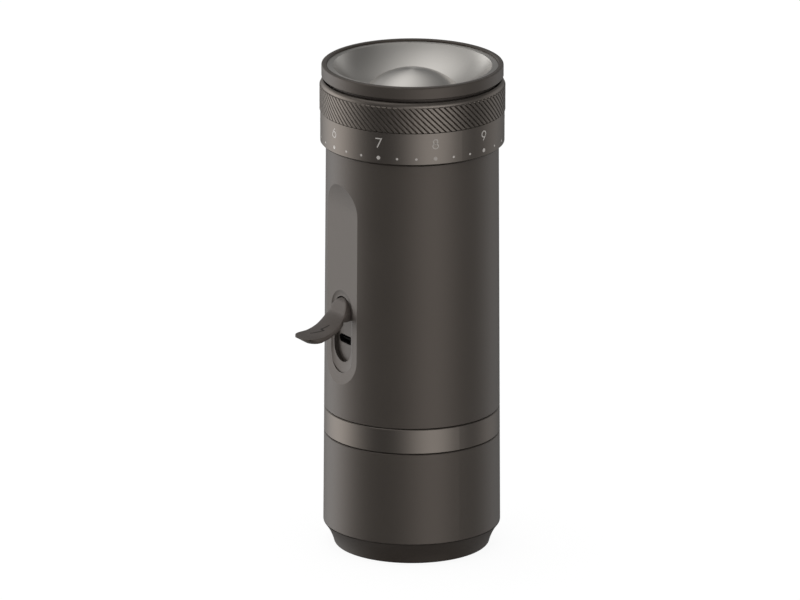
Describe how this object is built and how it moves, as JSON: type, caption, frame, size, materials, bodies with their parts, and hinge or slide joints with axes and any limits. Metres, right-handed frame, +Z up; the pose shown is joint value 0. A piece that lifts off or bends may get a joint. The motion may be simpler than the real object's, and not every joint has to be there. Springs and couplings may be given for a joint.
{
  "type": "cordless coffee grinder",
  "caption": "Slim cylindrical cordless coffee grinder with a numbered knurled grind ring, a lift-off dished lid, a pull-off cup and a flap over its charging socket.",
  "frame": {"origin": "middle of the foot's flat underside, on the main axis", "axes": "+Z up along the main axis; -Y out of the charging panel; +Y out of the power button and through grind setting 1"},
  "size_m": [0.0698, 0.0853, 0.188],
  "materials": {
    "body_metal": "fine blasted and anodised warm dark grey",
    "band_metal": "turned and anodised, smoother and brighter than the body",
    "lid_metal": "satin anodised dark grey",
    "dish_steel": "turned with fine concentric lines",
    "foot_rubber": "smooth moulded",
    "flap_rubber": "soft matt",
    "port_plastic": "fine texture",
    "socket_steel": "drawn, dull",
    "dark_plastic": "fine texture",
    "clear_plastic": "milky light guide",
    "button_metal": "turned",
    "burr_steel": "ground and hardened",
    "gear_steel": "hobbed",
    "motor_steel": "plated can",
    "screw_steel": "zinc plated",
    "brass": "machined",
    "magnet": "sintered",
    "cell_wrap": "shrink wrap",
    "board": "solder mask",
    "seal_silicone": "moulded"
  },
  "bodies": {
    "housing": {"body_shell": "body_metal", "band_ring": "band_metal", "shaft_seal": "seal_silicone", "port_insert": "port_plastic", "charging_socket": "socket_steel", "charging_board": "board", "control_board": "board", "power_switch": "dark_plastic", "light_ring": "clear_plastic", "hopper": "dark_plastic", "burr_housing": "dark_plastic", "chute": "dark_plastic", "bearing_outer": "gear_steel", "bearing_balls": "gear_steel", "ring_gear": "gear_steel", "gearbox_cover": "dark_plastic", "gearbox_screws": "screw_steel", "motor_plate": "motor_steel", "motor_screws": "screw_steel", "motor_can": "motor_steel", "motor_cap": "dark_plastic", "motor_magnets": "magnet", "cell_cradle": "dark_plastic", "base_plate": "dark_plastic", "base_screws": "screw_steel", "click_spring": "gear_steel", "battery_cell_1": "cell_wrap", "battery_cell_2": "cell_wrap", "battery_cell_3": "cell_wrap"},
    "lid": {"lid_rim": "lid_metal", "lid_dish": "dish_steel", "lid_plug": "dark_plastic", "lid_seal": "seal_silicone"},
    "burr_carrier": {"burr_carrier": "dark_plastic", "outer_burr": "burr_steel", "feed_keys": "brass"},
    "ring": {"adjusting_ring": "body_metal", "grip_band": "body_metal"},
    "burr_shaft": {"planet_carrier": "gear_steel", "drive_shaft": "gear_steel", "inner_burr": "burr_steel", "burr_nut": "gear_steel", "sweep_paddle": "dark_plastic", "bearing_inner": "gear_steel"},
    "rotor": {"motor_shaft": "gear_steel", "sun_gear": "brass", "armature": "motor_steel"},
    "planet_1": {"planet_gear_1": "gear_steel"},
    "planet_2": {"planet_gear_2": "gear_steel"},
    "planet_3": {"planet_gear_3": "gear_steel"},
    "button": {"power_button": "button_metal"},
    "flap": {"port_flap": "flap_rubber"},
    "cup": {"catch_cup": "body_metal", "foot": "foot_rubber", "cup_seal": "seal_silicone"}
  },
  "joints": [
    {"name": "burr_spin", "type": "hinge", "parent": "housing", "child": "burr_shaft", "pos_m": [0, 0, 0.111], "axis": [0, 0, 1], "continuous": true},
    {"name": "motor_spin", "type": "hinge", "parent": "housing", "child": "rotor", "pos_m": [0, 0, 0.08], "axis": [0, 0, 1], "continuous": true},
    {"name": "planet_spin_1", "type": "hinge", "parent": "burr_shaft", "child": "planet_1", "pos_m": [0.0075, 0, 0.0997], "axis": [0, 0, 1], "continuous": true},
    {"name": "planet_spin_2", "type": "hinge", "parent": "burr_shaft", "child": "planet_2", "pos_m": [-0.00375, 0.00649, 0.0997], "axis": [0, 0, 1], "continuous": true},
    {"name": "planet_spin_3", "type": "hinge", "parent": "burr_shaft", "child": "planet_3", "pos_m": [-0.00375, -0.00649, 0.0997], "axis": [0, 0, 1], "continuous": true},
    {"name": "burr_feed", "type": "slide", "parent": "housing", "child": "burr_carrier", "axis": [0, 0, 1], "range_m": [0, 0.0009]},
    {"name": "ring_turn", "type": "hinge", "parent": "burr_carrier", "child": "ring", "pos_m": [0, 0, 0.168], "axis": [0, 0, -1], "range_deg": [0, 324], "deforming": ["click_spring"]},
    {"name": "lid_lift", "type": "slide", "parent": "housing", "child": "lid", "axis": [0, 0, 1], "range_m": [0, 0.05]},
    {"name": "cup_pull", "type": "slide", "parent": "housing", "child": "cup", "axis": [0, 0, -1], "range_m": [0, 0.06]},
    {"name": "button_press", "type": "slide", "parent": "housing", "child": "button", "axis": [0, -1, 0], "range_m": [0, 0.0005], "stiffness_N_per_m": 400},
    {"name": "flap_bend", "type": "hinge", "parent": "housing", "child": "flap", "pos_m": [0, -0.0297, 0.0995], "axis": [1, 0, 0], "range_deg": [-20, 60], "deforming": ["port_flap"]}
  ],
  "couplings": [
    {"joint": "motor_spin", "follows": "burr_spin", "ratio": 5},
    {"joint": "planet_spin_1", "follows": "burr_spin", "ratio": -2.6667},
    {"joint": "planet_spin_2", "follows": "burr_spin", "ratio": -2.6667},
    {"joint": "planet_spin_3", "follows": "burr_spin", "ratio": -2.6667},
    {"joint": "burr_feed", "follows": "ring_turn", "m_per_rad": 0.00015915}
  ]
}
